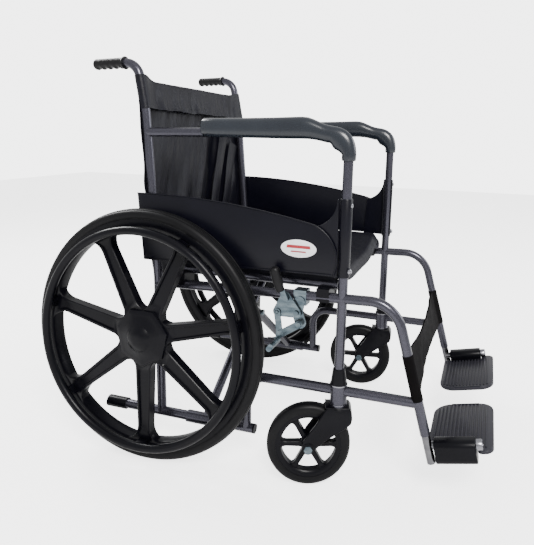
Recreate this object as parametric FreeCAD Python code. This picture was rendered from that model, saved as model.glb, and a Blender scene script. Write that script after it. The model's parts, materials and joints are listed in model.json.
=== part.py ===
import FreeCAD, Part
import math
import os
from FreeCAD import Vector

os.makedirs("parts", exist_ok=True)

# Folding manual wheelchair. Millimetres, +Z up. The user faces -Y, and +X is the user's left.
# Every piece is laid out with Y counted from the back post's foot, on the left (+X) side,
# then mirrored for the right side, and moved so that the whole chair is centred over the origin.

# ---- driving dimensions -------------------------------------------------------------------
wheel_radius = 305.0          # 24 inch rear wheel with its tyre
wheel_x = 300.0               # rear wheel's middle plane
axle_y = 2.0
tyre_width = 38.0
frame_x = 246.0               # plane of each side frame's tubes
tube_r = 11.1                 # 22.2 mm frame tube
tube_wall = 1.6
tipping_z = 88.0
lower_rail_z = 219.0
front_post_foot = (-464.0, 262.0)     # (y, z)
front_post_top = (-476.0, 797.0)
caster_radius = 95.0
caster_trail = 66.0
right_swivel = 18.0           # each caster's trailing direction, in degrees about +Z from +Y
left_swivel = 8.0
scissor_angle = 38.0          # the cross arms' slope when the chair is open
seat_rail_x = 222.0
arm_y = (-128.0, -152.5)      # the two cross arms lie side by side
footplate_front_y = -802.0
foot_tilt = 12.0              # toe-up slope of the footplates
foot_hinge = (242.0, -667.0, 127.0)
guard_x = frame_x + tube_r + 0.4      # inner face of the skirt guard
running = 0.05                # radial clearance of every turning fit

chair_shift = -(axle_y + wheel_radius + footplate_front_y) / 2
arm_half = frame_x / math.cos(math.radians(scissor_angle))
centre_z = tipping_z + frame_x * math.tan(math.radians(scissor_angle))
seat_rail_z = centre_z + seat_rail_x * math.tan(math.radians(scissor_angle))


# ---- helpers ------------------------------------------------------------------------------
def rounded_path(points, radii):
    """Straight runs joined by tangent arcs, one radius for each inner point."""
    edges = []
    start = points[0]
    for i, radius in enumerate(radii):
        corner = points[i + 1]
        back = (points[i] - corner).normalize()
        ahead = (points[i + 2] - corner).normalize()
        half = back.getAngle(ahead) / 2
        reach = radius / math.tan(half)
        a = corner + back * reach
        b = corner + ahead * reach
        middle = corner + (back + ahead).normalize() * (radius / math.sin(half) - radius)
        edges.append(Part.LineSegment(start, a).toShape())
        edges.append(Part.Arc(a, middle, b).toShape())
        start = b
    edges.append(Part.LineSegment(start, points[-1]).toShape())
    return Part.Wire(edges)


def rod(points, radii, radius):
    """A solid round bar along a bent path."""
    path = rounded_path(points, radii)
    ring = Part.Wire(Part.makeCircle(radius, points[0], points[1] - points[0]))
    return path.makePipeShell([ring], True, False)


def tube(points, radii, radius=tube_r, wall=tube_wall):
    return rod(points, radii, radius).cut(rod(points, radii, radius - wall))


def straight(a, b, radius):
    return Part.makeCylinder(radius, (b - a).Length, a, b - a)


def sleeve(a, b, outer, inner):
    return straight(a, b, outer).cut(straight(a, b, inner))


def slab(outline, x0, x1):
    """An outline of (y, z) points or edges, extruded along X."""
    if isinstance(outline, Part.Wire):
        wire = outline
    else:
        wire = Part.makePolygon([Vector(x0, y, z) for y, z in outline + outline[:1]])
    return Part.Face(wire).extrude(Vector(x1 - x0, 0, 0))


def rounded_slab(outline, radius, x0, x1):
    """The same with one radius on every corner."""
    solid = slab(outline, x0, x1)
    along = [e for e in solid.Edges if abs(e.tangentAt(e.FirstParameter).x) > 0.99]
    return solid.makeFillet(radius, along)


def hexagon(centre, across, x0, x1):
    """A nut or bolt head with its axis along X; centre is (y, z)."""
    size = across / math.sqrt(3)
    corners = []
    for i in range(6):
        turn = math.radians(60 * i)
        corners.append((centre[0] + size * math.cos(turn), centre[1] + size * math.sin(turn)))
    return slab(corners, x0, x1)


def group(*solids):
    return Part.Compound(list(solids))


def polar(radius, degrees, x=0.0):
    """A point on a wheel's face, counted from straight down."""
    turn = math.radians(degrees)
    return Vector(x, radius * math.sin(turn), -radius * math.cos(turn))


def in_frame(y, z):
    return Vector(frame_x, y, z)


# ---- side frame ---------------------------------------------------------------------------
post_points = [in_frame(-3, tipping_z), in_frame(5, 430), in_frame(37, 838), in_frame(60, 957),
               in_frame(160, 953.5)]
post_bends = [300, 250, 40]
arm_points = [in_frame(33, 789), in_frame(front_post_top[0], front_post_top[1]),
              in_frame(*front_post_foot)]
rail_points = [in_frame(5, 419), in_frame(-588, 433), in_frame(-660.3, 152)]
hanger_slope = (rail_points[2] - rail_points[1]).normalize()
lower_points = [in_frame(-643, lower_rail_z), in_frame(-237, lower_rail_z), in_frame(-237, tipping_z)]
tipping_points = (in_frame(-256, tipping_z), in_frame(150, tipping_z))
head_low = 190.0
head_high = 236.0
head_r = 19.0
caster_axis = Vector(frame_x, front_post_foot[0], 0)

post_rod = rod(post_points, post_bends, tube_r)
arm_rod = rod(arm_points, [46], tube_r)
rail_rod = rod(rail_points, [72], tube_r)
tipping_rod = straight(*tipping_points, tube_r)
head_rod = straight(caster_axis + Vector(0, 0, head_low), caster_axis + Vector(0, 0, head_high), head_r)


def back_post():
    axle_hole = straight(Vector(frame_x - 20, axle_y, wheel_radius),
                         Vector(frame_x + 20, axle_y, wheel_radius), 6.0)
    return tube(post_points, post_bends).cut(tipping_rod).cut(axle_hole)


def arm_tube():
    """Armrest tube and front post, one length of tube."""
    return tube(arm_points, [46]).cut(post_rod)


def side_rail():
    """Upper side rail and footrest hanger, one length of tube."""
    return tube(rail_points, [72]).cut(post_rod).cut(arm_rod)


def lower_rail():
    rail = tube(lower_points, [48]).cut(head_rod)
    return rail.cut(tipping_rod).cut(rail_rod)


def tipping_bar():
    return tube(list(tipping_points), [])


def head_tube():
    """Caster housing with a plated ring at each end and one round the post above the collar."""
    base = caster_axis
    body = sleeve(base + Vector(0, 0, head_low), base + Vector(0, 0, head_high), head_r, 12.0)
    low = sleeve(base + Vector(0, 0, head_low - 3), base + Vector(0, 0, head_low), head_r + 1.5, 12.0)
    return group(body, low)


def stem_collar():
    """Tapered plastic collar that joins the front post to the caster housing."""
    base = caster_axis + Vector(0, 0, head_high)
    cone = Part.makeCone(head_r - 0.5, tube_r + 2.5, 34, base)
    return cone.cut(arm_rod)


def handle_grip():
    """Push handle grip with finger grooves, closed at its end."""
    start = post_points[3] + (post_points[4] - post_points[3]).normalize() * 34
    along = (post_points[4] - post_points[3]).normalize()
    grip = straight(start, start + along * 90, 13.4)
    lip = straight(start, start + along * 5, 15.5)
    return grip.fuse(lip).cut(post_rod)


def arm_pad():
    """Moulded pad over the arm tube, its elbow and the top of the front post."""
    top = 826.0
    low = 781.0
    pad = rounded_slab([(-122, low), (-122, top), (-395, top), (-395, low)], 12,
                       frame_x - 22, frame_x + 22)
    elbow = rod([in_frame(-384, 795.6), arm_points[1], in_frame(-475, 751)], [46], 15.5)
    return pad.fuse(elbow).removeSplitter().cut(arm_rod)


def skirt_guard():
    """Moulded side panel: a fender with a rounded front lobe, and a bracket on the front post."""
    x0 = guard_x
    rear = [Vector(x0, 50, 640), Vector(x0, -160, 632), Vector(x0, -404, 594)]
    lobe = [rear[2], Vector(x0, -444, 563), Vector(x0, -449, 484)]
    edges = [Part.Arc(*rear).toShape(), Part.Arc(*lobe).toShape(),
             Part.LineSegment(lobe[2], Vector(x0, 34, 478)).toShape(),
             Part.LineSegment(Vector(x0, 34, 478), rear[0]).toShape()]
    fender = slab(Part.Wire(edges), x0 + 2.2, x0 + 5.2)
    fender.translate(Vector(2.2, 0, 0))
    bracket = [Vector(x0, -404, 590), Vector(x0, -442, 613), Vector(x0, -455, 652)]
    edges = [Part.Arc(*bracket).toShape(),
             Part.LineSegment(bracket[2], Vector(x0, -487, 654)).toShape(),
             Part.LineSegment(Vector(x0, -487, 654), Vector(x0, -483, 480)).toShape(),
             Part.LineSegment(Vector(x0, -483, 480), Vector(x0, -395, 482)).toShape(),
             Part.LineSegment(Vector(x0, -395, 482), bracket[0]).toShape()]
    plate = slab(Part.Wire(edges), x0, x0 + 2.2)
    return group(fender, plate)


def caps_and_saddles():
    """Tip cap, plugs for the open tube ends and the cradles that the seat rail drops into."""
    rear = tipping_points[1]
    cap = straight(rear + Vector(0, -50, 0), rear + Vector(0, 5, 0), tube_r + 3).cut(tipping_rod)
    plug = straight(tipping_points[0] - Vector(0, 4, 0), tipping_points[0], tube_r)
    solids = [cap, plug]
    for y in (-60.0, -425.0):
        block = Part.makeBox(45, 30, 30, Vector(frame_x - 34, y - 15, 420))
        rail = straight(Vector(seat_rail_x, y - 20, seat_rail_z),
                        Vector(seat_rail_x, y + 20, seat_rail_z), tube_r + 0.5)
        solids.append(block.cut(rail_rod).cut(rail))
    return group(*solids)


# ---- rear wheel, laid out about its own axle ----------------------------------------------
rim_outer = 281.0
rim_inner = 257.0
spoke_count = 7
hub_inner_x = -34.0
hub_outer_x = 32.0
bearing_r = 16.0
handrim_x = 40.0
handrim_tube = 10.0
handrim_radius = 259.0


def ring(outer, inner, x0, x1):
    return sleeve(Vector(x0, 0, 0), Vector(x1, 0, 0), outer, inner)


def mag_wheel():
    """One-piece seven-spoke wheel with its hub."""
    rim = ring(rim_outer, rim_inner, -17, 17)
    wheel = rim.fuse(ring(65, bearing_r, -8, 22)).fuse(ring(33, bearing_r, hub_inner_x, hub_outer_x))
    for i in range(spoke_count):
        turn = 360.0 / spoke_count * i
        spoke = Part.makePolygon([Vector(-8, -22, -40), Vector(-8, 22, -40), Vector(-8, 15, -rim_inner - 3),
                                  Vector(-8, -15, -rim_inner - 3), Vector(-8, -22, -40)])
        spoke = Part.Face(spoke).extrude(Vector(24, 0, 0))
        spoke.rotate(Vector(0, 0, 0), Vector(1, 0, 0), turn)
        wheel = wheel.fuse(spoke)
    return wheel.removeSplitter()


def tyre():
    """Solid tyre with a rounded tread."""
    half = tyre_width / 2
    low = rim_outer
    side = low + 10
    crown = wheel_radius
    points = [Vector(-16, 0, low), Vector(-half, 0, side), Vector(-9, 0, crown - 2)]
    mirror = [Vector(-p.x, 0, p.z) for p in points]
    edges = [Part.Arc(points[0], points[1], points[2]).toShape(),
             Part.Arc(points[2], Vector(0, 0, crown), mirror[2]).toShape(),
             Part.Arc(mirror[2], mirror[1], mirror[0]).toShape(),
             Part.LineSegment(mirror[0], points[0]).toShape()]
    return Part.Face(Part.Wire(edges)).revolve(Vector(0, 0, 0), Vector(1, 0, 0), 360)


def handrim():
    """Push rim with a lug to the wheel at each spoke."""
    rim = Part.makeTorus(handrim_radius, handrim_tube, Vector(handrim_x, 0, 0), Vector(1, 0, 0))
    for i in range(spoke_count):
        lug = Part.makeBox(handrim_x - 17, 24, 9, Vector(17, -12, -handrim_radius - 6))
        lug.rotate(Vector(0, 0, 0), Vector(1, 0, 0), 360.0 / spoke_count * i)
        rim = rim.fuse(lug)
    return rim.removeSplitter()


def wheel_bearings():
    inner = 6.0 + running
    return group(ring(bearing_r, inner, hub_inner_x, hub_inner_x + 11),
                 ring(bearing_r, inner, hub_outer_x - 11, hub_outer_x))


def rear_axle():
    """Fixed axle bolt through the back post, with its spacer and nuts."""
    centre = (axle_y, wheel_radius)
    at = Vector(0, *centre)
    bolt = straight(at + Vector(frame_x - 16, 0, 0), at + Vector(wheel_x + hub_outer_x + 7.5, 0, 0), 6.0)
    spacer = sleeve(at + Vector(frame_x + 9, 0, 0), at + Vector(wheel_x + hub_inner_x - 0.5, 0, 0), 10, 6.0)
    nut = hexagon(centre, 18, wheel_x + hub_outer_x + 0.5, wheel_x + hub_outer_x + 7.5)
    inner = hexagon(centre, 18, frame_x - 19, frame_x - 9)
    nut = nut.cut(bolt)
    inner = inner.cut(bolt).cut(post_rod)
    return group(bolt, spacer.cut(post_rod), nut, inner)


# ---- caster, laid out with its swivel axis on Z, trailing along +Y --------------------------
fork_gap = 18.5
fork_leg = 8.0
caster_axle_r = 5.0


def caster_fork():
    """Moulded fork with its steel stem."""
    crown = straight(Vector(0, 0, 180), Vector(0, 0, head_low - 3.5), 22)
    bridge = Part.makeBox(2 * (fork_gap + fork_leg), 40, 6.5, Vector(-fork_gap - fork_leg, -18, 180))
    shape = crown.fuse(bridge)
    outline = [(-20, 186.5), (22, 186.5), (40, 160), (caster_trail + 17, 100),
               (caster_trail + 10, 80), (caster_trail - 10, 80), (caster_trail - 20, 105), (-20, 172)]
    for x0 in (-fork_gap - fork_leg, fork_gap):
        leg = slab(outline, x0, x0 + fork_leg)
        shape = shape.fuse(leg)
    bore = straight(Vector(-40, caster_trail, caster_radius), Vector(40, caster_trail, caster_radius),
                    caster_axle_r)
    stem = straight(Vector(0, 0, head_low - 3.5), Vector(0, 0, head_high - 6), 12.0 - running)
    return shape.removeSplitter().cut(bore).fuse(stem)


def caster_wheel():
    hub_bore = caster_axle_r + running
    wheel = ring(75, 62, -13, 13).fuse(ring(19, hub_bore, -16, 16))
    for i in range(6):
        spoke = Part.makeBox(16, 15, 50, Vector(-8, -7.5, 15))
        spoke.rotate(Vector(0, 0, 0), Vector(1, 0, 0), 60 * i)
        wheel = wheel.fuse(spoke)
    wheel = wheel.removeSplitter()
    wheel.translate(Vector(0, caster_trail, caster_radius))
    return wheel


def caster_tyre():
    points = [Vector(-14, 0, 75), Vector(-15, 0, 84), Vector(-8, 0, caster_radius - 1.5)]
    mirror = [Vector(-p.x, 0, p.z) for p in points]
    edges = [Part.Arc(*points).toShape(),
             Part.Arc(points[2], Vector(0, 0, caster_radius), mirror[2]).toShape(),
             Part.Arc(mirror[2], mirror[1], mirror[0]).toShape(),
             Part.LineSegment(mirror[0], points[0]).toShape()]
    solid = Part.Face(Part.Wire(edges)).revolve(Vector(0, 0, 0), Vector(1, 0, 0), 360)
    solid.translate(Vector(0, caster_trail, caster_radius))
    return solid


def caster_axle():
    """Axle bolt with its head and nut outside the fork legs."""
    centre = (caster_trail, caster_radius)
    reach = fork_gap + fork_leg
    at = Vector(0, *centre)
    bolt = straight(at - Vector(reach, 0, 0), at + Vector(reach, 0, 0), caster_axle_r)
    head = hexagon(centre, 17, -reach - 6, -reach)
    nut = hexagon(centre, 17, reach, reach + 6)
    return group(bolt.fuse(head).fuse(nut))


# ---- brake --------------------------------------------------------------------------------
lever_pivot = (-367.0, 392.0)
lever_pin = (-322.0, 391.0)
shoe_pivot = (-375.0, 368.5)
shoe_pin = (-329.0, 340.0)
bracket_x = guard_x + 1.0
lever_x = bracket_x + 6.0
grip_x = lever_x + 9.4
rivet_r = 3.0
shoe_tip = (-322.0, 322.0)


def bar(points, width, x0, x1):
    """A flat link with round ends through two or more (y, z) points."""
    shape = None
    for i, (y, z) in enumerate(points):
        disc = straight(Vector(x0, y, z), Vector(x1, y, z), width / 2)
        shape = disc if shape is None else shape.fuse(disc)
        if i == 0:
            continue
        a = points[i - 1]
        run = Vector(0, y - a[0], z - a[1])
        side = Vector(0, -run.z, run.y).normalize() * (width / 2)
        corners = [Vector(x0, *a) + side, Vector(x0, y, z) + side, Vector(x0, y, z) - side,
                   Vector(x0, *a) - side, Vector(x0, *a) + side]
        shape = shape.fuse(Part.Face(Part.makePolygon(corners)).extrude(Vector(x1 - x0, 0, 0)))
    return shape.removeSplitter()


def pin_at(point, radius, x0, x1):
    return straight(Vector(x0, *point), Vector(x1, *point), radius)


def brake_bracket():
    """Pressed plate on the outside of the side rail, with its clamp and two rivets."""
    plate = bar([(-372, 416), lever_pivot, shoe_pivot], 26, bracket_x, bracket_x + 2.6)
    clamp = Part.makeBox(bracket_x - frame_x + 15, 30, 34, Vector(frame_x - 15, -387, 408))
    clamp = clamp.cut(rail_rod)
    lever_rivet = pin_at(lever_pivot, rivet_r, bracket_x + 2.6, lever_x + 4)
    lever_head = pin_at(lever_pivot, 6, lever_x + 4, lever_x + 6.5)
    shoe_rivet = pin_at(shoe_pivot, rivet_r, bracket_x + 2.6, lever_x + 10)
    shoe_head = pin_at(shoe_pivot, 6, lever_x + 10, lever_x + 12)
    shape = plate.fuse(lever_rivet).fuse(lever_head).fuse(shoe_rivet).fuse(shoe_head)
    return group(shape, clamp)


def brake_lever():
    blade = bar([lever_pin, lever_pivot, (-341, 428), lever_pin], 22, lever_x, lever_x + 3)
    core = Part.Face(Part.makePolygon([Vector(lever_x, *lever_pin), Vector(lever_x, *lever_pivot),
                                       Vector(lever_x, -341, 428), Vector(lever_x, *lever_pin)]))
    blade = blade.fuse(core.extrude(Vector(3, 0, 0)))
    step = bar([(-343, 423), (-339, 433)], 13, lever_x, grip_x + 1.5)
    tang = bar([(-341, 428), (-322, 478)], 12, grip_x - 1.5, grip_x + 1.5)
    hole = pin_at(lever_pivot, rivet_r + running, lever_x - 5, lever_x + 9)
    pin = pin_at(lever_pin, rivet_r, lever_x + 3, lever_x + 7.6)
    return blade.fuse(step).fuse(tang).removeSplitter().cut(hole).fuse(pin)


def brake_grip():
    """Moulded grip over the lever's tang."""
    a = Vector(grip_x, -335.2, 443)
    b = Vector(grip_x, -318, 488)
    solid = straight(a, b, 10.2).fuse(Part.makeSphere(10.2, b))
    return solid.cut(bar([(-341, 428), (-322, 478)], 12, grip_x - 1.5, grip_x + 1.5))


def brake_link():
    x0 = lever_x + 3.6
    shape = bar([lever_pin, shoe_pin], 15, x0, x0 + 2.6)
    return shape.cut(pin_at(lever_pin, rivet_r + 1.6, x0 - 5, x0 + 9)).cut(
        pin_at(shoe_pin, rivet_r + running, x0 - 5, x0 + 9))


def brake_shoe():
    """Shoe arm with its pad across the tyre's tread."""
    x0 = lever_x + 6.8
    arm = bar([shoe_pivot, shoe_pin], 16, x0, x0 + 3)
    arm = arm.cut(pin_at(shoe_pivot, rivet_r + running, x0 - 9, x0 + 9))
    pin = pin_at(shoe_pin, rivet_r, lever_x + 3.2, x0)
    reach = bar([shoe_pin, shoe_tip], 12, x0, x0 + 3)
    foot = bar([(-326.5, 327.5), shoe_tip], 12, x0, wheel_x + 17)
    return arm.fuse(pin).fuse(reach).fuse(foot).removeSplitter()


# ---- footrest -----------------------------------------------------------------------------
def foot_place(shape):
    """Tilts a footplate piece toe-up about its hinge and moves it there."""
    shape.rotate(Vector(0, 0, 0), Vector(1, 0, 0), -foot_tilt)
    shape.translate(Vector(*foot_hinge))
    return shape


def footrest_tube():
    """Inner leg tube with the hinge tube that carries the footplate, and a plug below."""
    low = rail_points[2] + hanger_slope * 62
    leg = sleeve(rail_points[2] - hanger_slope * 128, low, tube_r - tube_wall - running, 7.6)
    hinge = foot_place(straight(Vector(0, 6, 0), Vector(0, -112, 0), 8.0))
    return group(leg.cut(hinge), hinge)


def footplate():
    """Ribbed plate with its hinge block."""
    reach = foot_hinge[0] - 43
    block = Part.makeBox(38, 87.5, 50, Vector(-19, -101, -36))
    block = block.makeFillet(12, [e for e in block.Edges if abs(e.tangentAt(e.FirstParameter).y) > 0.99])
    plate = Part.makeBox(reach - 12, 142, 9, Vector(-reach, -136, -18))
    upright = [e for e in plate.Edges if abs(e.tangentAt(e.FirstParameter).z) > 0.99
               and e.CenterOfMass.x < -reach + 1]
    plate = plate.makeFillet(30, upright)
    web = Part.makeBox(26, 80, 8, Vector(-26, -97, -18))
    shape = plate.fuse(block).fuse(web)
    for i in range(13):
        rib = Part.makeBox(reach - 64, 4, 2, Vector(-reach + 24, -126 + 9.2 * i, -9))
        shape = shape.fuse(rib)
    shape = shape.removeSplitter().cut(straight(Vector(0, 10, 0), Vector(0, -120, 0), 8.0 + running))
    return foot_place(shape)


# ---- folding cross frame --------------------------------------------------------------------
def cross_arm(sign, y):
    """One arm with its sleeve on the tipping bar and the seat rail on its top end."""
    foot = Vector(-sign * frame_x, y, tipping_z)
    top = Vector(sign * seat_rail_x, y, seat_rail_z)
    bar_axis = Vector(-sign * frame_x, 0, tipping_z)
    rail_axis = Vector(sign * seat_rail_x, 0, seat_rail_z)
    outer = straight(bar_axis + Vector(0, -203, 0), bar_axis + Vector(0, -78, 0), 14.3)
    pivot = outer.cut(straight(bar_axis + Vector(0, -210, 0), bar_axis + Vector(0, -70, 0), tube_r + running))
    rail_rod_solid = straight(rail_axis + Vector(0, -452, 0), rail_axis + Vector(0, -14, 0), tube_r)
    rail = rail_rod_solid.cut(straight(rail_axis + Vector(0, -452, 0), rail_axis + Vector(0, -14, 0),
                                       tube_r - tube_wall))
    arm = straight(foot, top, tube_r).cut(straight(foot, top, tube_r - tube_wall))
    arm = arm.cut(outer).cut(rail_rod_solid)
    return arm, pivot, rail


bolt_r = 4.0


def cross_arm_a():
    arm, pivot, rail = cross_arm(1, arm_y[0])
    hole = straight(Vector(0, -180, centre_z), Vector(0, -100, centre_z), bolt_r)
    return group(arm.cut(hole), pivot, rail)


def cross_arm_b():
    arm, pivot, rail = cross_arm(-1, arm_y[1])
    hole = straight(Vector(0, -180, centre_z), Vector(0, -100, centre_z), bolt_r + running)
    return group(arm.cut(hole), pivot, rail)


def cross_bolt():
    """Scissor pivot bolt with its head, nut and the washer between the arms."""
    back = arm_y[0] + tube_r
    front = arm_y[1] - tube_r - 0.6
    shaft = straight(Vector(0, front, centre_z), Vector(0, back, centre_z), bolt_r)
    head = straight(Vector(0, back, centre_z), Vector(0, back + 6, centre_z), 8)
    nut = straight(Vector(0, front - 6, centre_z), Vector(0, front, centre_z), 8)
    return shaft.fuse(head).fuse(nut)


def seat_sling():
    """Seat fabric between the two seat rails."""
    half = seat_rail_x - tube_r - 6
    return Part.makeBox(2 * half, 430, 3, Vector(-half, -450, seat_rail_z + 5))


def back_sling():
    """Back fabric between the back posts."""
    half = frame_x - tube_r - 0.6
    outline = [(9, 470), (12, 470), (40, 838), (57, 928), (54, 928), (37, 838)]
    return slab(outline, -half, half)


def calf_strap():
    """Strap between the two hangers, behind the user's calves."""
    half = frame_x - tube_r - 0.6
    top = rail_points[2] - hanger_slope * 174
    low = rail_points[2] - hanger_slope * 78
    outline = [(top.y - 1.5, top.z), (top.y + 1.5, top.z), (low.y + 1.5, low.z), (low.y - 1.5, low.z)]
    return slab(outline, -half, half)


# ---- placing and writing --------------------------------------------------------------------
def on_axle(shape, spin):
    shape.rotate(Vector(0, 0, 0), Vector(1, 0, 0), spin)
    shape.translate(Vector(wheel_x, axle_y, wheel_radius))
    return shape


def export(name, shape):
    shape.translate(Vector(0, chair_shift, 0))
    solids = [s for s in shape.Solids if s.Volume > 20]
    assert solids and all(s.isValid() for s in solids), name
    shape = solids[0] if len(solids) == 1 else Part.Compound(solids)
    shape.exportStep("parts/" + name + ".step")
    print(name, len(solids), round(shape.Volume))


side_pieces = [back_post, arm_tube, side_rail, lower_rail, tipping_bar, head_tube, stem_collar,
               handle_grip, arm_pad, skirt_guard, caps_and_saddles, rear_axle, brake_bracket,
               brake_lever, brake_grip, brake_link, brake_shoe, footrest_tube, footplate]
wheel_pieces = [mag_wheel, tyre, handrim, wheel_bearings]
caster_pieces = [caster_fork, caster_wheel, caster_tyre, caster_axle]
middle_pieces = [cross_arm_a, cross_arm_b, cross_bolt, seat_sling, back_sling, calf_strap]

for piece in side_pieces + wheel_pieces:
    shape = piece()
    if piece in wheel_pieces:
        shape = on_axle(shape, 0)
    export("left_" + piece.__name__, shape.copy())
    export("right_" + piece.__name__, shape.mirror(Vector(0, 0, 0), Vector(1, 0, 0)))

for piece in caster_pieces:
    for side, sign, swivel in (("left", 1, left_swivel), ("right", -1, right_swivel)):
        shape = piece()
        shape.rotate(Vector(0, 0, 0), Vector(0, 0, 1), swivel)
        shape.translate(Vector(sign * frame_x, caster_axis.y, 0))
        export(side + "_" + piece.__name__, shape)

for piece in middle_pieces:
    export(piece.__name__, piece())
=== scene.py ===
import json
from math import pi, radians, sin, cos, sqrt, exp, atan2, hypot
import bpy
import bmesh
from mathutils import Matrix, Vector, noise


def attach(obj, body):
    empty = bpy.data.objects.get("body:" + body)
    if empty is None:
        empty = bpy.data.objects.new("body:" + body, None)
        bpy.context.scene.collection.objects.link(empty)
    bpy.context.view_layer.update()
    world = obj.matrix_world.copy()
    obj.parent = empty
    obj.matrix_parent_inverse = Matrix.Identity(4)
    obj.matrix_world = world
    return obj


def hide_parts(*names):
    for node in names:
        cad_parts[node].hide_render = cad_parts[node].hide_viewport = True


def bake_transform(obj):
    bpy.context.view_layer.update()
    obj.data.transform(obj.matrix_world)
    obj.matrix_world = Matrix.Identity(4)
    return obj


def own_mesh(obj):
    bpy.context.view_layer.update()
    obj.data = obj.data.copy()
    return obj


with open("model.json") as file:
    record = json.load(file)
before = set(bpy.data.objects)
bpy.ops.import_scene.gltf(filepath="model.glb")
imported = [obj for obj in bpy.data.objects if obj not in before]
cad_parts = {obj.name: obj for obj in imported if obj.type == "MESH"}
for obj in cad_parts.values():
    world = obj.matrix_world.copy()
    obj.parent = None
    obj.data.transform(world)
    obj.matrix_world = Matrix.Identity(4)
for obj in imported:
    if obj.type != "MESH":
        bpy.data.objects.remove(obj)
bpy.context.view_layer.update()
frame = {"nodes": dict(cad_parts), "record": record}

view = {
    "place": (-1.3492, -0.5196, 0.8044),
    "turn": -73.14,       # degrees about the vertical, 0 looks along +Y
    "tilt": 4.9,
    "roll": 1.19,
    "lens": 34.83,
    "shift": (-0.1152, -0.1798),
}


def makeCamera():
    data = bpy.data.cameras.new("camera")
    data.lens = view["lens"]
    data.sensor_width = 36.0
    data.shift_x, data.shift_y = view["shift"]
    data.dof.use_dof = False
    camera = bpy.data.objects.new("camera", data)
    bpy.context.scene.collection.objects.link(camera)
    turn = Matrix.Rotation(radians(view["turn"]), 4, "Z")
    tilt = Matrix.Rotation(radians(90 - view["tilt"]), 4, "X")
    roll = Matrix.Rotation(radians(view["roll"]), 4, "Z")
    camera.matrix_world = Matrix.Translation(view["place"]) @ turn @ tilt @ roll
    bpy.context.scene.camera = camera


studio = {
    "sky": 1.0,
    "backdrop": 4.6,
    "lamps": [
        # name, place, size, power, colour
        ("key", (-2.4, -1.4, 2.8), 1.2, 170.0, (1.0, 0.98, 0.96)),
        ("fill", (1.6, -2.8, 1.8), 2.0, 55.0, (0.95, 0.97, 1.0)),
        ("rim", (0.6, 2.6, 2.4), 1.2, 95.0, (1.0, 1.0, 1.0)),
    ],
    "aim": (0.0, 0.0, 0.45),
    "floor": 12.0,     # side of the floor square, in metres
    "lift": 2.6,       # how much the floor glows to the camera alone
}


def mathNode(tree, operation, a, b=None):
    node = tree.nodes.new("ShaderNodeMath")
    node.operation = operation
    for socket, value in zip(node.inputs, (a, b)):
        if value is None:
            continue
        if isinstance(value, (int, float)):
            socket.default_value = value
        else:
            tree.links.new(value, socket)
    return node.outputs[0]


def makeSky():
    # the camera sees a paler backdrop than the one that lights the chair
    world = bpy.data.worlds.new("studio")
    bpy.context.scene.world = world
    world.use_nodes = True
    tree = world.node_tree
    sky = tree.nodes["Background"]
    seen = tree.nodes.new("ShaderNodeBackground")
    for node, strength in ((sky, studio["sky"]), (seen, studio["backdrop"])):
        node.inputs["Color"].default_value = (1.0, 1.0, 1.0, 1.0)
        node.inputs["Strength"].default_value = strength
    choose = tree.nodes.new("ShaderNodeMixShader")
    tree.links.new(tree.nodes.new("ShaderNodeLightPath").outputs["Is Camera Ray"], choose.inputs["Fac"])
    tree.links.new(sky.outputs[0], choose.inputs[1])
    tree.links.new(seen.outputs[0], choose.inputs[2])
    tree.links.new(choose.outputs[0], tree.nodes["World Output"].inputs["Surface"])


def makeLamps():
    for name, place, size, power, colour in studio["lamps"]:
        data = bpy.data.lights.new(name, "AREA")
        data.shape = "DISK"
        data.size = size
        data.energy = power
        data.color = colour
        lamp = bpy.data.objects.new(name, data)
        bpy.context.scene.collection.objects.link(lamp)
        aim = Vector(studio["aim"]) - Vector(place)
        lamp.matrix_world = Matrix.Translation(place) @ aim.to_track_quat("-Z", "Y").to_matrix().to_4x4()


def makeFloor():
    bm = bmesh.new()
    bmesh.ops.create_grid(bm, x_segments=1, y_segments=1, size=studio["floor"] / 2)
    mesh = bpy.data.meshes.new("floor")
    bm.to_mesh(mesh)
    bm.free()
    floor = bpy.data.objects.new("floor", mesh)
    bpy.context.scene.collection.objects.link(floor)
    material = bpy.data.materials.new("floorPaper")
    material.use_nodes = True
    tree = material.node_tree
    shader = tree.nodes["Principled BSDF"]
    shader.inputs["Base Color"].default_value = (0.9, 0.9, 0.9, 1.0)
    shader.inputs["Roughness"].default_value = 0.9
    shader.inputs["Specular IOR Level"].default_value = 0.1
    shader.inputs["Emission Color"].default_value = (1.0, 1.0, 1.0, 1.0)
    seen = tree.nodes.new("ShaderNodeLightPath").outputs["Is Camera Ray"]
    tree.links.new(mathNode(tree, "MULTIPLY", seen, studio["lift"]), shader.inputs["Emission Strength"])
    mesh.materials.append(material)


makeCamera()
makeSky()
makeLamps()
makeFloor()
print("camera and studio ready")


# shader groups: each gives masks, values and normals only

def newGroup(name, inputs, outputs):
    tree = bpy.data.node_groups.new(name, "ShaderNodeTree")
    for label, value in inputs:
        socket = tree.interface.new_socket(label, in_out="INPUT", socket_type="NodeSocketFloat")
        socket.default_value = value
    for label in outputs:
        kind = "NodeSocketVector" if label == "Normal" else "NodeSocketFloat"
        tree.interface.new_socket(label, in_out="OUTPUT", socket_type=kind)
    return tree, tree.nodes.new("NodeGroupInput").outputs, tree.nodes.new("NodeGroupOutput").inputs


def objectCoords(tree):
    return tree.nodes.new("ShaderNodeTexCoord").outputs["Object"]


def noiseNode(tree, scale, detail=4.0, rough=0.55):
    node = tree.nodes.new("ShaderNodeTexNoise")
    node.inputs["Detail"].default_value = detail
    node.inputs["Roughness"].default_value = rough
    tree.links.new(objectCoords(tree), node.inputs["Vector"])
    if isinstance(scale, (int, float)):
        node.inputs["Scale"].default_value = scale
    else:
        tree.links.new(scale, node.inputs["Scale"])
    return node.outputs["Fac"]


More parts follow.
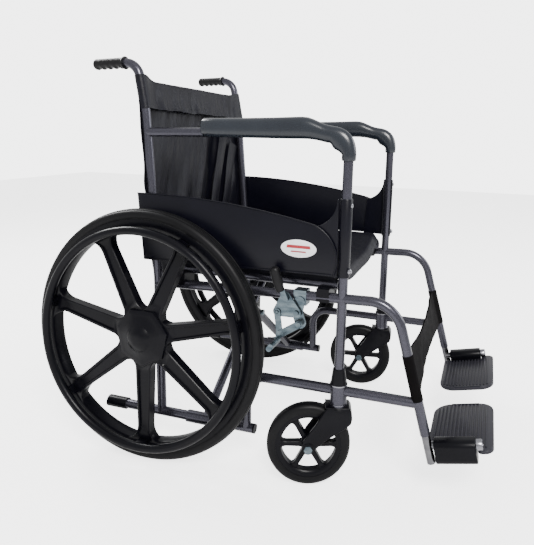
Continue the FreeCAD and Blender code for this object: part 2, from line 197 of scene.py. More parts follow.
def bumpNode(tree, height, depth, distance):
    node = tree.nodes.new("ShaderNodeBump")
    node.inputs["Distance"].default_value = distance
    tree.links.new(height, node.inputs["Height"])
    tree.links.new(depth, node.inputs["Strength"])
    return node.outputs["Normal"]


def grainGroup():
    tree, source, result = newGroup("mouldedGrain", [("Scale", 400.0), ("Depth", 0.2)], ["Value", "Normal"])
    fine = noiseNode(tree, source["Scale"])
    broad = noiseNode(tree, 9.0)
    tree.links.new(mathNode(tree, "MULTIPLY", mathNode(tree, "ADD", fine, broad), 0.5), result["Value"])
    tree.links.new(bumpNode(tree, fine, source["Depth"], 0.0006), result["Normal"])
    return tree


def weaveGroup():
    tree, source, result = newGroup("nylonWeave", [("Scale", 2400.0), ("Depth", 0.4)], ["Value", "Normal"])
    split = tree.nodes.new("ShaderNodeSeparateXYZ")
    tree.links.new(objectCoords(tree), split.inputs[0])
    down = mathNode(tree, "ADD", split.outputs["Y"], split.outputs["Z"])
    warp = mathNode(tree, "SINE", mathNode(tree, "MULTIPLY", split.outputs["X"], source["Scale"]))
    weft = mathNode(tree, "SINE", mathNode(tree, "MULTIPLY", down, source["Scale"]))
    over = mathNode(tree, "MULTIPLY", warp, weft)
    cloud = noiseNode(tree, 60.0)
    height = mathNode(tree, "ADD", mathNode(tree, "MULTIPLY", over, 0.5), cloud)
    tree.links.new(mathNode(tree, "MULTIPLY", height, 0.6), result["Value"])
    tree.links.new(bumpNode(tree, height, source["Depth"], 0.0004), result["Normal"])
    return tree


def dustGroup():
    tree, source, result = newGroup("settledDust", [("Amount", 0.2), ("Scale", 30.0)], ["Mask"])
    split = tree.nodes.new("ShaderNodeSeparateXYZ")
    tree.links.new(tree.nodes.new("ShaderNodeNewGeometry").outputs["Normal"], split.inputs[0])
    upward = mathNode(tree, "MAXIMUM", split.outputs["Z"], 0.0)
    patches = noiseNode(tree, source["Scale"], 6.0)
    mask = mathNode(tree, "MULTIPLY", mathNode(tree, "MULTIPLY", upward, patches), source["Amount"])
    tree.links.new(mask, result["Mask"])
    return tree


def flakeGroup():
    tree, source, result = newGroup("paintFlake", [("Scale", 3000.0), ("Depth", 0.1)], ["Value", "Normal"])
    cells = tree.nodes.new("ShaderNodeTexVoronoi")
    tree.links.new(objectCoords(tree), cells.inputs["Vector"])
    tree.links.new(source["Scale"], cells.inputs["Scale"])
    grey = tree.nodes.new("ShaderNodeRGBToBW")
    tree.links.new(cells.outputs["Color"], grey.inputs[0])
    peel = noiseNode(tree, 160.0, 2.0)
    tree.links.new(grey.outputs[0], result["Value"])
    tree.links.new(bumpNode(tree, peel, source["Depth"], 0.0004), result["Normal"])
    return tree


def brushedGroup():
    tree, source, result = newGroup("platedScuff", [("Scale", 120.0), ("Depth", 0.1)], ["Value", "Normal"])
    mapping = tree.nodes.new("ShaderNodeMapping")
    mapping.inputs["Scale"].default_value = (1.0, 0.25, 1.0)
    tree.links.new(objectCoords(tree), mapping.inputs["Vector"])
    node = tree.nodes.new("ShaderNodeTexNoise")
    node.inputs["Detail"].default_value = 6.0
    tree.links.new(mapping.outputs["Vector"], node.inputs["Vector"])
    tree.links.new(source["Scale"], node.inputs["Scale"])
    tree.links.new(node.outputs["Fac"], result["Value"])
    tree.links.new(bumpNode(tree, node.outputs["Fac"], source["Depth"], 0.0005), result["Normal"])
    return tree


groups = {"grain": grainGroup(), "weave": weaveGroup(), "dust": dustGroup(), "flake": flakeGroup(),
          "brushed": brushedGroup()}

# each finish: two colours mixed by the surface group's value, roughness range, surface group and its values
plain = {"metal": 0.0, "coat": 0.0, "sheen": 0.0, "shine": 0.5}
finishes = {
    "frame_paint": {"dark": (0.023, 0.023, 0.031), "light": (0.066, 0.064, 0.086), "rough": (0.2, 0.3),
                    "metal": 0.75, "coat": 0.3, "surface": ("flake", 2600.0, 0.05), "dust": 0.015},
    "black_moulding": {"dark": (0.001, 0.001, 0.002), "light": (0.003, 0.003, 0.005), "rough": (0.22, 0.36),
                       "surface": ("grain", 700.0, 0.2), "dust": 0.0, "shine": 0.13},
    "grip_rubber": {"dark": (0.0015, 0.0015, 0.002), "light": (0.005, 0.005, 0.006), "rough": (0.35, 0.5),
                    "surface": ("grain", 900.0, 0.3), "dust": 0.004, "shine": 0.22},
    "pad_skin": {"dark": (0.006, 0.008, 0.012), "light": (0.013, 0.017, 0.024), "rough": (0.2, 0.32),
                 "coat": 0.1, "surface": ("grain", 500.0, 0.08), "dust": 0.01, "shine": 0.4},
    "guard_panel": {"dark": (0.001, 0.001, 0.003), "light": (0.003, 0.003, 0.007), "rough": (0.28, 0.4),
                    "surface": ("grain", 600.0, 0.18), "dust": 0.002, "shine": 0.2},
    "zinc_plate": {"dark": (0.04, 0.06, 0.075), "light": (0.19, 0.235, 0.26), "rough": (0.18, 0.34),
                   "metal": 0.9, "surface": ("brushed", 90.0, 0.2), "dust": 0.01},
    "chrome_tube": {"dark": (0.10, 0.10, 0.11), "light": (0.2, 0.2, 0.21), "rough": (0.1, 0.2),
                    "metal": 1.0, "surface": ("brushed", 60.0, 0.03), "dust": 0.01},
    "tyre_rubber": {"dark": (0.0015, 0.0015, 0.002), "light": (0.004, 0.004, 0.005), "rough": (0.36, 0.5),
                    "surface": ("grain", 450.0, 0.25), "dust": 0.001, "shine": 0.15},
    "sling_cloth": {"dark": (0.0015, 0.0015, 0.004), "light": (0.005, 0.005, 0.012), "rough": (0.36, 0.5),
                    "surface": ("weave", 2400.0, 0.35), "dust": 0.004, "sheen": 0.01, "shine": 0.2},
    "strap_web": {"dark": (0.0015, 0.0012, 0.0015), "light": (0.004, 0.003, 0.0035), "rough": (0.7, 0.85),
                  "surface": ("weave", 3200.0, 0.3), "dust": 0.0, "shine": 0.06},
    "plate_plastic": {"dark": (0.010, 0.010, 0.014), "light": (0.026, 0.026, 0.034), "rough": (0.26, 0.4),
                      "surface": ("grain", 500.0, 0.22), "dust": 0.012, "shine": 0.2},
    "bearing_steel": {"dark": (0.18, 0.18, 0.2), "light": (0.35, 0.35, 0.38), "rough": (0.2, 0.34),
                      "metal": 1.0, "surface": ("brushed", 90.0, 0.1), "dust": 0.01},
    "badge_face": {"dark": (0.74, 0.75, 0.78), "light": (0.86, 0.86, 0.88), "rough": (0.25, 0.32),
                   "coat": 0.5, "surface": ("grain", 120.0, 0.02), "dust": 0.02},
    "badge_mark": {"dark": (0.25, 0.004, 0.01), "light": (0.36, 0.01, 0.02), "rough": (0.3, 0.4),
                   "coat": 0.3, "surface": ("grain", 120.0, 0.02), "dust": 0.02},
}


def makeMaterial(name, finish):
    finish = {**plain, **finish}
    material = bpy.data.materials.new(name)
    material.use_nodes = True
    tree = material.node_tree
    shader = tree.nodes["Principled BSDF"]
    kind, scale, depth = finish["surface"]
    surface = tree.nodes.new("ShaderNodeGroup")
    surface.node_tree = groups[kind]
    surface.inputs["Scale"].default_value = scale
    surface.inputs["Depth"].default_value = depth
    ramp = tree.nodes.new("ShaderNodeMapRange")
    ramp.inputs["From Min"].default_value = 0.3
    ramp.inputs["From Max"].default_value = 0.7
    tree.links.new(surface.outputs["Value"], ramp.inputs["Value"])
    rough = tree.nodes.new("ShaderNodeMapRange")
    rough.inputs["To Min"].default_value, rough.inputs["To Max"].default_value = finish["rough"]
    tree.links.new(surface.outputs["Value"], rough.inputs["Value"])
    dust = tree.nodes.new("ShaderNodeGroup")
    dust.node_tree = groups["dust"]
    dust.inputs["Amount"].default_value = finish["dust"]
    base = tree.nodes.new("ShaderNodeMix")
    base.data_type = "RGBA"
    base.inputs["A"].default_value = (*finish["dark"], 1.0)
    base.inputs["B"].default_value = (*finish["light"], 1.0)
    tree.links.new(ramp.outputs["Result"], base.inputs["Factor"])
    dusty = tree.nodes.new("ShaderNodeMix")
    dusty.data_type = "RGBA"
    dusty.inputs["B"].default_value = (0.42, 0.41, 0.39, 1.0)
    tree.links.new(dust.outputs["Mask"], dusty.inputs["Factor"])
    tree.links.new(base.outputs["Result"], dusty.inputs["A"])
    tree.links.new(dusty.outputs["Result"], shader.inputs["Base Color"])
    tree.links.new(rough.outputs["Result"], shader.inputs["Roughness"])
    tree.links.new(surface.outputs["Normal"], shader.inputs["Normal"])
    shader.inputs["Metallic"].default_value = finish["metal"]
    shader.inputs["Coat Weight"].default_value = finish["coat"]
    shader.inputs["Coat Roughness"].default_value = 0.2
    shader.inputs["Sheen Weight"].default_value = finish["sheen"]
    shader.inputs["Specular IOR Level"].default_value = finish["shine"]
    return material


materials = {name: makeMaterial(name, finish) for name, finish in finishes.items()}
slotOf = {part["node"]: part["material_slot"] for part in frame["record"]["subparts"]}
for name, node in frame["nodes"].items():
    node.data.materials.clear()
    node.data.materials.append(materials[slotOf[name]])
print("materials ready")


# modelling helpers: shapes are laid out in millimetres with y counted from the back post's foot

postFoot = 0.2475     # where that foot lies along the row frame's Y, in metres
toRow = Matrix.Translation((0.0, postFoot, 0.0)) @ Matrix.Scale(0.001, 4)
sides = (("left", 1), ("right", -1))
frameX = 246.0        # side frame tubes, either side of the middle
casterPost = -464.0   # swivel axis of a caster, and the foot of the front post above it


def frontPostY(z):
    # the front post leans back as it rises from its foot
    return casterPost - 12.0 * (z - 262.0) / 535.0


def mirrored(sign):
    return Matrix.Diagonal((sign, 1, 1, 1))


def addPiece(name, bm, finish, body, stands=(), place=None, sharp=38.0):
    bmesh.ops.transform(bm, matrix=toRow @ (place or Matrix.Identity(4)), verts=bm.verts)
    bmesh.ops.recalc_face_normals(bm, faces=bm.faces)
    mesh = bpy.data.meshes.new(name)
    bm.to_mesh(mesh)
    bm.free()
    mesh.shade_smooth()
    mesh.set_sharp_from_angle(angle=radians(sharp))
    mesh.materials.append(materials[finish])
    piece = bpy.data.objects.new(name, mesh)
    bpy.context.scene.collection.objects.link(piece)
    if body:
        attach(piece, body)
    if stands:
        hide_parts(*stands)
    return piece


def loft(bm, rings):
    rows = weldRings(bm, rings, True)
    bm.faces.new(rows[0][::-1])
    bm.faces.new(rows[-1])


def roundRing(centre, across, up, half, tall, count, power=2.0):
    ring = []
    for i in range(count):
        c, s = cos(2 * pi * i / count), sin(2 * pi * i / count)
        a = half * abs(c) ** (2 / power) * (1 if c >= 0 else -1)
        b = tall * abs(s) ** (2 / power) * (1 if s >= 0 else -1)
        ring.append(centre + across * a + up * b)
    return ring


def lathe(bm, profile, steps, closed=True):
    # profile of (x, radius) turned about X
    verts = [bm.verts.new((x, 0.0, r)) for x, r in profile]
    pairs = list(zip(verts, verts[1:])) + ([(verts[-1], verts[0])] if closed else [])
    edges = [bm.edges.new(pair) for pair in pairs]
    bmesh.ops.spin(bm, geom=verts + edges, cent=(0, 0, 0), axis=(1, 0, 0), angle=2 * pi,
                   steps=steps, use_merge=True)
    if not closed:
        bmesh.ops.remove_doubles(bm, verts=[v for v in bm.verts if v.co.y ** 2 + v.co.z ** 2 < 1e-4],
                                 dist=1e-3)


def prism(bm, outline, low, high, axis="X"):
    orders = {"X": lambda a, b, c: (c, a, b), "Y": lambda a, b, c: (a, c, b), "Z": lambda a, b, c: (a, b, c)}
    order = orders[axis]
    face = bm.faces.new([bm.verts.new(order(a, b, low)) for a, b in outline])
    grown = bmesh.ops.extrude_face_region(bm, geom=[face])
    moved = [v for v in grown["geom"] if isinstance(v, bmesh.types.BMVert)]
    bmesh.ops.translate(bm, vec=Vector(order(0, 0, high - low)), verts=moved)


def bevelEdges(bm, width, segments=2, angle=35.0):
    bmesh.ops.recalc_face_normals(bm, faces=bm.faces)
    edges = [e for e in bm.edges if len(e.link_faces) == 2 and e.calc_face_angle(0.0) > radians(angle)]
    bmesh.ops.bevel(bm, geom=edges, offset=width, segments=segments, profile=0.5, affect="EDGES",
                    material=-1, clamp_overlap=True)


def merge(bm, other, place=None):
    if place is not None:
        bmesh.ops.transform(other, matrix=place, verts=other.verts)
    part = bpy.data.meshes.new("part")
    other.to_mesh(part)
    other.free()
    bm.from_mesh(part)
    bpy.data.meshes.remove(part)


def arc(a, b, c, count):
    # points on the circle through three (y, z) points, from a to c
    ax, ay, bx, by, cx, cy = *a, *b, *c
    d = 2 * (ax * (by - cy) + bx * (cy - ay) + cx * (ay - by))
    ux = ((ax * ax + ay * ay) * (by - cy) + (bx * bx + by * by) * (cy - ay)
          + (cx * cx + cy * cy) * (ay - by)) / d
    uy = ((ax * ax + ay * ay) * (cx - bx) + (bx * bx + by * by) * (ax - cx)
          + (cx * cx + cy * cy) * (bx - ax)) / d
    start = atan2(ay - uy, ax - ux)
    middle = (atan2(by - uy, bx - ux) - start + pi) % (2 * pi) - pi
    end = (atan2(cy - uy, cx - ux) - start) % (2 * pi)
    if middle < 0:
        end -= 2 * pi
    radius = sqrt((ax - ux) ** 2 + (ay - uy) ** 2)
    return [(ux + radius * cos(start + end * i / count), uy + radius * sin(start + end * i / count))
            for i in range(count + 1)]


def softStep(t):
    t = min(1.0, max(0.0, t))
    return t * t * (3 - 2 * t)


def noiseAt(x, y, z):
    return noise.noise(Vector((x, y, z)))


def weldRings(bm, rings, closed):
    # quads between neighbouring rows of points
    rows = [[bm.verts.new(p) for p in ring] for ring in rings]
    for a, b in zip(rows, rows[1:]):
        for i in range(len(a) if closed else len(a) - 1):
            j = (i + 1) % len(a)
            bm.faces.new((a[i], a[j], b[j], b[i]))
    return rows


# spoked wheels

rearWheel = {"x": 300.0, "y": 2.0, "z": 305.0, "spokes": 7, "hub": 63.0, "rim": 259.0,
             "width": (21.0, 14.5), "fillet": (14.0, 40.0), "depth": (-8.0, 16.0), "flange": 6.0,
             "dish": 4.5, "facet": 1.11}
casterWheel = {"spokes": 6, "hub": 13.0, "rim": 64.5, "width": (6.2, 5.0), "fillet": (7.0, 15.0),
               "depth": (-8.0, 8.0), "flange": 2.2, "dish": 2.2}


def spoke(bm, spec, turn):
    hub, rim = spec["hub"], spec["rim"]
    low, high = spec["depth"]
    flange, dish = spec["flange"], spec["dish"]
    rings = []
    stops = 22
    for i in range(stops + 1):
        r = hub - 6 + (rim - hub + 9) * i / stops
        t = (r - hub) / (rim - hub)
        half = spec["width"][0] + (spec["width"][1] - spec["width"][0]) * min(1.0, max(0.0, t))
        for edge, radius in ((r - hub, spec["fillet"][0]), (rim - r, spec["fillet"][1])):
            near = min(1.0, max(0.0, edge / radius))
            half += radius * 0.8 * (1 - sqrt(1 - (1 - near) ** 2))
        level = dish * softStep((r - hub - 4) / 18) * softStep((rim - 6 - r) / 18)
        # half of the section, with a dished middle and a flange at the edge; the other half mirrors it
        edge = [(half - flange - 2, high - level), (half - flange, high), (half - 1.5, high),
                (half, high - 1.5), (half, low + 1.5), (half - 1.5, low), (half - flange, low),
                (half - flange - 2, low + level * 0.7)]
        ring = edge + [(-s, x) for s, x in reversed(edge)]
        drop = sqrt(max(0.0, (rim + 3) ** 2 - half ** 2)) - (rim + 3) if i == stops else 0.0
        rings.append([Vector((x, s, -r - drop)) for s, x in ring])
    part = bmesh.new()
    loft(part, rings)
    merge(bm, part, Matrix.Rotation(turn, 4, "X"))


rimProfile = [(-17, 281.5), (-17.5, 270), (-16.5, 262), (-14, 258), (-9, 256.5), (9, 256.5), (14, 258),
              (16.5, 262), (17.5, 270), (17, 281.5)]
hubProfile = [(-8, 15), (-8, 60), (-5, 64.5), (-3, 65), (17, 65), (20.5, 64), (22.2, 61), (23, 54),
              (25.5, 45), (29, 37), (31, 31), (32, 26), (32, 16), (30, 15)]
hubCap = [(30.5, 0), (30.5, 32), (33.5, 28.5), (37, 23), (39.4, 18), (40.8, 12), (41.2, 6), (41.2, 0)]
innerHub = [(-34, 16), (-34, 31), (-32.5, 33), (-6, 33), (-6, 16)]
tyreProfile = [(-16, 280.5), (-18, 284), (-19, 289), (-19, 293), (-18, 297), (-15.5, 300.2), (-13, 301.8),
               (-12.2, 300.4), (-11.2, 300.4), (-10.4, 302.8), (-5.5, 304.2), (-4.6, 302.6), (-3.6, 302.6),
               (-2.8, 304.8), (2.8, 304.8), (3.6, 302.6), (4.6, 302.6), (5.5, 304.2), (10.4, 302.8),
               (11.2, 300.4), (12.2, 300.4), (13, 301.8), (15.5, 300.2), (18, 297), (19, 293), (19, 289),
               (18, 284), (16, 280.5)]


def rearWheels():
    half = pi / rearWheel["spokes"]
    for side, sign in sides:
        place = mirrored(sign) @ Matrix.Translation((rearWheel["x"], rearWheel["y"], rearWheel["z"]))
        bm = bmesh.new()
        lathe(bm, rimProfile, 128)
        hub = bmesh.new()
        lathe(hub, hubProfile, 84)
        for v in hub.verts:
            # the plate round the hub has a corner at every spoke
            radius = hypot(v.co.y, v.co.z)
            facet = (atan2(v.co.y, -v.co.z) + half) % (2 * half) - half
            corner = rearWheel["facet"] * cos(half) / cos(half - abs(facet))
            share = softStep((radius - 38) / 20)
            v.co.yz = v.co.yz * (1 + (corner - 1) * share)
        merge(bm, hub)
        lathe(bm, innerHub, 48)
        lathe(bm, hubCap, 48, closed=False)
        for i in range(rearWheel["spokes"]):
            spoke(bm, rearWheel, 2 * pi * i / rearWheel["spokes"])
        addPiece(side + ".spoked_wheel", bm, "black_moulding", side + "_wheel", [side + "_mag_wheel"], place)
        bm = bmesh.new()
        lathe(bm, tyreProfile, 160)
        addPiece(side + ".rear_tyre", bm, "tyre_rubber", side + "_wheel", [side + "_tyre"], place, 50.0)
        bm = bmesh.new()
        turns = [2 * pi * i / 20 for i in range(20)]
        ring = [(40 + 10 * cos(t), rearWheel["rim"] + 10 * sin(t)) for t in turns]
        lathe(bm, ring, 144)
        for i in range(rearWheel["spokes"]):
            lug = bmesh.new()
            prism(lug, [(15, -253.5), (15, -266), (38, -264.5), (38, -255.5)], -13, 13, "Y")
            bevelEdges(lug, 2.0)
            merge(bm, lug, Matrix.Rotation(2 * pi * i / rearWheel["spokes"], 4, "X"))
        addPiece(side + ".push_rim", bm, "black_moulding", side + "_wheel", [side + "_handrim"], place)


rearWheels()
print("rear wheels ready")

# casters: laid out with the swivel axis on Z, trailing along +Y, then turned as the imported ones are

casterTrail = 66.0
casterRadius = 95.0
swivels = {"left": 8.0, "right": 18.0}
casterRim = [(-13, 76), (-13.5, 71), (-12, 65.5), (-9, 62.5), (9, 62.5), (12, 65.5), (13.5, 71), (13, 76)]
casterHub = [(-16, 5.2), (-16, 12), (-14.5, 14), (-9, 15), (9, 15), (14.5, 14), (16, 12), (16, 5.2)]
casterTread = [(-14, 74.5), (-15.2, 79), (-15.2, 84), (-14, 88.5), (-11, 92), (-6, 94.2), (0, 94.8),
               (6, 94.2), (11, 92), (14, 88.5), (15.2, 84), (15.2, 79), (14, 74.5)]


def forkLeg():
    boss = [(casterTrail + 14 * cos(radians(a)), casterRadius + 14 * sin(radians(a)))
            for a in range(200, 391, 12)]
    front = [(-24, 186.5), (-30, 176), (-31, 163), (-26, 150), (-13, 139), (5, 128), (24, 115), (42, 100)]
    rear = [(79, 106), (73, 118), (62, 133), (51, 148), (41, 165), (32, 178), (24, 186.5)]
    return front + boss + rear


def forkHood():
    under = []
    for i in range(11):
        y = -24 + 54 * i / 10
        under.append((y, casterRadius + sqrt(99.0 ** 2 - (y - casterTrail) ** 2)))
    return [(30, 186.5), (-24, 186.5), (-30, 176), (-31, 163), (-28, 152)] + under[1:]


def casters():
    for side, sign in sides:
        turn = Matrix.Rotation(radians(swivels[side]), 4, "Z")
        place = Matrix.Translation((sign * frameX, casterPost, 0.0)) @ turn
        hub = place @ Matrix.Translation((0.0, casterTrail, casterRadius))
        bm = bmesh.new()
        for x0, x1 in ((-26.5, -18.5), (18.5, 26.5)):
            leg = bmesh.new()
            prism(leg, forkLeg(), x0, x1)
            bevelEdges(leg, 2.2, 3, 50.0)
            merge(bm, leg)
        hood = bmesh.new()
        prism(hood, forkHood(), -25.5, 25.5)
        bevelEdges(hood, 2.5, 3, 50.0)
        merge(bm, hood)
        for v in bm.verts:
            v.co.x *= 1 - 0.2 * softStep((v.co.z - 166) / 20)
        crown = bmesh.new()
        lathe(crown, [(0, 0), (0, 24), (2, 24.5), (5, 21), (6.2, 20), (6.2, 0)], 48, closed=False)
        merge(bm, crown, Matrix.Translation((0, 0, 180.5)) @ Matrix.Rotation(-pi / 2, 4, "Y"))
        for x0, x1 in ((-28.5, -25.5), (25.5, 28.5)):
            boss = bmesh.new()
            lathe(boss, [(x0, 5.2), (x0, 11.5), (x0 + 0.6, 12.5), (x1 - 0.6, 12.5), (x1, 11.5),
                         (x1, 5.2)], 36)
            merge(bm, boss, Matrix.Translation((0, casterTrail, casterRadius)))
        stem = bmesh.new()
        lathe(stem, [(186, 0), (186, 11.9), (229, 11.9), (229, 0)], 32, closed=False)
        merge(bm, stem, Matrix.Rotation(-pi / 2, 4, "Y"))
        addPiece(side + ".fork", bm, "black_moulding", side + "_caster_swivel", [side + "_caster_fork"],
                 place)
        bm = bmesh.new()
        lathe(bm, casterRim, 80)
        lathe(bm, casterHub, 40)
        for i in range(casterWheel["spokes"]):
            spoke(bm, casterWheel, 2 * pi * (i + 0.5) / casterWheel["spokes"])
        addPiece(side + ".caster_spokes", bm, "black_moulding", side + "_caster_roll",
                 [side + "_caster_wheel"], hub)
        bm = bmesh.new()
        lathe(bm, casterTread, 96)
        addPiece(side + ".caster_tread", bm, "tyre_rubber", side + "_caster_roll", [side + "_caster_tyre"],
                 hub)


casters()
print("casters ready")

# upper frame trim: grips, arm pads, skirt guards

gripSpec = {"start": (60.0, 957.0), "end": (160.0, 953.5), "from": 34.0, "length": 90.0, "radius": 13.4,
            "groove": 2.8, "waves": 4}


def pushGrips():
    for side, sign in sides:
        a = Vector((frameX, *gripSpec["start"]))
        along = (Vector((frameX, *gripSpec["end"])) - a).normalized()
        across = Vector((1.0, 0.0, 0.0))
        up = across.cross(along) * -1
        if up.z < 0:
            up = -up
        bm = bmesh.new()
        rings = []
        total = gripSpec["length"]
        for i in range(61):
            s = total * i / 60
            radius = gripSpec["radius"] + 2.6 * softStep((6 - s) / 4)
            if s > total - 7:
                radius *= sqrt(max(0.04, 1 - ((s - total + 7) / 7.2) ** 2))
            ring = []
            for k in range(32):
                turn = 2 * pi * k / 32
                below = max(0.0, -sin(turn)) ** 2
                wave = 0.5 - 0.5 * cos(2 * pi * gripSpec["waves"] * (s - 10) / (total - 20))
                inside = 1.0 if 10 < s < total - 10 else 0.0
                r = radius - gripSpec["groove"] * wave * below * inside + 0.8 * below * (1 - wave) * inside
                r -= 0.35 * (1 if k % 2 else 0) * inside * (1 - below)
                ring.append(a + along * (gripSpec["from"] + s) + across * r * cos(turn) + up * r * sin(turn))
            rings.append(ring)
        loft(bm, rings)
        addPiece(side + ".push_grip", bm, "grip_rubber", side + "_frame", [side + "_handle_grip"],
                 mirrored(sign), 60.0)


# level run: y, top, underside, half width, squareness; then the elbow turns about its corner
padRun = [(-122, 820, 787, 17, 2.4), (-123.5, 823.5, 784, 20, 2.5), (-127, 825, 781.5, 21.7, 2.7),
          (-160, 825.5, 781, 22, 2.7), (-230, 826.5, 781, 22, 2.7), (-300, 828.5, 781.2, 22, 2.7),
          (-345, 830.5, 781.6, 22, 2.7), (-366, 831.3, 782, 22, 2.7), (-380, 830.2, 782, 21.4, 2.6),
          (-392, 826.5, 781.2, 20, 2.5), (-404, 821.5, 779.6, 18.6, 2.4), (-415, 817, 777.4, 17.2, 2.2),
          (-425, 814, 775, 16.3, 2.1)]
padElbow = {"corner": (-430.0, 750.6), "reach": 45.6, "half": 15.8, "web": 11.0, "crest": 3.4, "steps": 12}


def padStations():
    # y, z, angle of the run, half width, half height, squareness
    stations = [(y, (top + low) / 2, 0, half, (top - low) / 2, power) for y, top, low, half, power in padRun]
    cornerY, cornerZ = padElbow["corner"]
    half = padElbow["half"]
    for i in range(1, padElbow["steps"] + 1):
        angle = 90 * i / padElbow["steps"]
        turn = radians(angle)
        web = padElbow["web"] * sin(2 * turn) + 3.0 * cos(turn)
        crest = padElbow["crest"] * sin(2 * turn) ** 2
        reach = padElbow["reach"] + (crest - web) / 2
        stations.append((cornerY - reach * sin(turn), cornerZ + reach * cos(turn), angle, half,
                         half + (crest + web) / 2, 2.1))
    return stations + [(-475.2, 740, 90, 15.6, 15.6, 2.0), (-475.1, 737.5, 90, 14.8, 14.8, 2.0),
                       (-475.1, 736.5, 90, 12.2, 12.2, 2.0)]


def armPads():
    for side, sign in sides:
        bm = bmesh.new()
        rings = []
        for y, z, angle, half, tall, power in padStations():
            up = Vector((0.0, -sin(radians(angle)), cos(radians(angle))))
            rings.append(roundRing(Vector((frameX, y, z)), Vector((1, 0, 0)), up, half, tall, 40, power))
        loft(bm, rings)
        pad = addPiece(side + ".armrest", bm, "pad_skin", side + "_frame", [side + "_arm_pad"],
                       mirrored(sign), 50.0)


guardInner = 257.5
postWrap = {"low": 480.0, "high": 654.0, "inner": 11.6, "outer": 13.9, "reach": 118.0}


def wrapRings():
    # the guard's front edge clips round the post in an open sleeve
    rings = []
    low, high = postWrap["low"], postWrap["high"]
    for z in (low, low + 1.5, high - 1.5, high):
        outer = 13.0 if z in (low, high) else postWrap["outer"]
        turns = [radians(postWrap["reach"] * (k / 14 - 1)) for k in range(29)]
        ring = [Vector((frameX + outer * cos(t), frontPostY(z) + outer * sin(t), z)) for t in turns]
        inner = postWrap["inner"]
        turns.reverse()
        ring += [Vector((frameX + inner * cos(t), frontPostY(z) + inner * sin(t), z)) for t in turns]
        rings.append(ring)
    return rings


def skirtGuards():
    for side, sign in sides:
        mirror = mirrored(sign)
        bm = bmesh.new()
        outline = arc((50, 640), (-160, 632), (-404, 594), 28)
        outline += arc((-404, 594), (-444, 563), (-449, 484), 16)[1:]
        outline += [(34, 478)]
        panel = bmesh.new()
        prism(panel, outline, guardInner + 4.4, guardInner + 7.4)
        bevelEdges(panel, 1.0, 2, 50.0)
        merge(bm, panel)
        lip = bmesh.new()
        top = [(y, z) for y, z in outline[:45]]
        rings = []
        for i, (y, z) in enumerate(top):
            a, b = top[max(0, i - 1)], top[min(len(top) - 1, i + 1)]
            run = Vector((0.0, b[0] - a[0], b[1] - a[1])).normalized()
            rings.append(roundRing(Vector((guardInner + 6.0, y, z)), Vector((1, 0, 0)),
                                   Vector((1, 0, 0)).cross(run), 2.6, 1.9, 12))
        loft(lip, rings)
        merge(bm, lip)
        foot = bmesh.new()
        prism(foot, [(30, 478.4), (-446, 484.4), (-446, 488), (30, 482)], guardInner + 4.0, guardInner + 9.4)
        bevelEdges(foot, 0.8, 2, 50.0)
        merge(bm, foot)
        bracket = bmesh.new()
        front = arc((-404, 590), (-442, 613), (-455, 652), 14) + [(-458, 654), (-458, 480), (-395, 482)]
        prism(bracket, front, guardInner, guardInner + 2.2)
        bevelEdges(bracket, 0.6, 1, 50.0)
        merge(bm, bracket)
        wrap = bmesh.new()
        loft(wrap, wrapRings())
        merge(bm, wrap)
        addPiece(side + ".side_panel", bm, "guard_panel", side + "_frame", [side + "_skirt_guard"], mirror)
        bm = bmesh.new()
        for z, r, d in ((640.0, 5.2, 3.5), (494.0, 6.5, 6.5)):
            part = bmesh.new()
            lathe(part, [(0, 0), (0, r), (d * 0.6, r), (d, r * 0.6), (d, 0)], 24, closed=False)
            seat = Matrix.Translation((250.0, frontPostY(z) - 12.4, z))
            merge(bm, part, seat @ Matrix.Rotation(-pi / 2, 4, "Z"))
        addPiece(side + ".panel_screws", bm, "bearing_steel", side + "_frame", place=mirror)
        bm = bmesh.new()
        oval = [(-369.5 + 42.0 * cos(2 * pi * i / 48), 539 + 20.0 * sin(2 * pi * i / 48)) for i in range(48)]
        prism(bm, oval, guardInner + 7.0, guardInner + 8.3)
        bevelEdges(bm, 0.4, 2, 50.0)
        addPiece(side + ".badge", bm, "badge_face", side + "_frame", place=mirror)
        bm = bmesh.new()
        for y0, y1, z0, z1 in ((-398, -341, 539.5, 546.5), (-388, -351, 530.5, 533.5)):
            bar = bmesh.new()
            shape = [(y0, z0), (y1, z0), (y1 - 1.5, z1), (y0 + 1.5, z1)]
            prism(bar, shape, guardInner + 8.1, guardInner + 8.6)
            merge(bm, bar)
        addPiece(side + ".badge_bars", bm, "badge_mark", side + "_frame", place=mirror)


pushGrips()
armPads()
skirtGuards()
print("grips, arm pads and side panels ready")

# footplates: laid out with the hinge along Y through the origin, then tilted toe-up

footHinge = (242.0, -667.0, 127.0)
footTilt = 12.0
# plate edges from the hinge, two inner corner radii, and the ribs on top
plate = {"inner": 43.0 - footHinge[0], "outer": -14.0, "wing": 7.0, "back": 6.0, "toe": -136.0,
         "heelRound": 42, "toeRound": 34, "ribs": 14, "pitch": 8.8}


def cornerArc(cx, cy, radius, start, count=8):
    turns = [radians(start + 90 * i / count) for i in range(count + 1)]
    return [(cx + radius * cos(t), cy + radius * sin(t)) for t in turns]


def plateOutline():
    inner, outer, wing, back, toe = (plate[key] for key in ("inner", "outer", "wing", "back", "toe"))
    heel, tip = plate["heelRound"], plate["toeRound"]
    outline = cornerArc(inner + heel, back - heel, heel, 90, 12)
    outline += cornerArc(inner + tip, toe + tip, tip, 180, 12)
    outline += cornerArc(wing - 18, toe + 18, 18, 270) + cornerArc(wing - 8, -111, 8, 0, 4)
    return outline + [(outer, -103), (outer, -12)] + cornerArc(outer - 12, back - 12, 12, 0, 5)


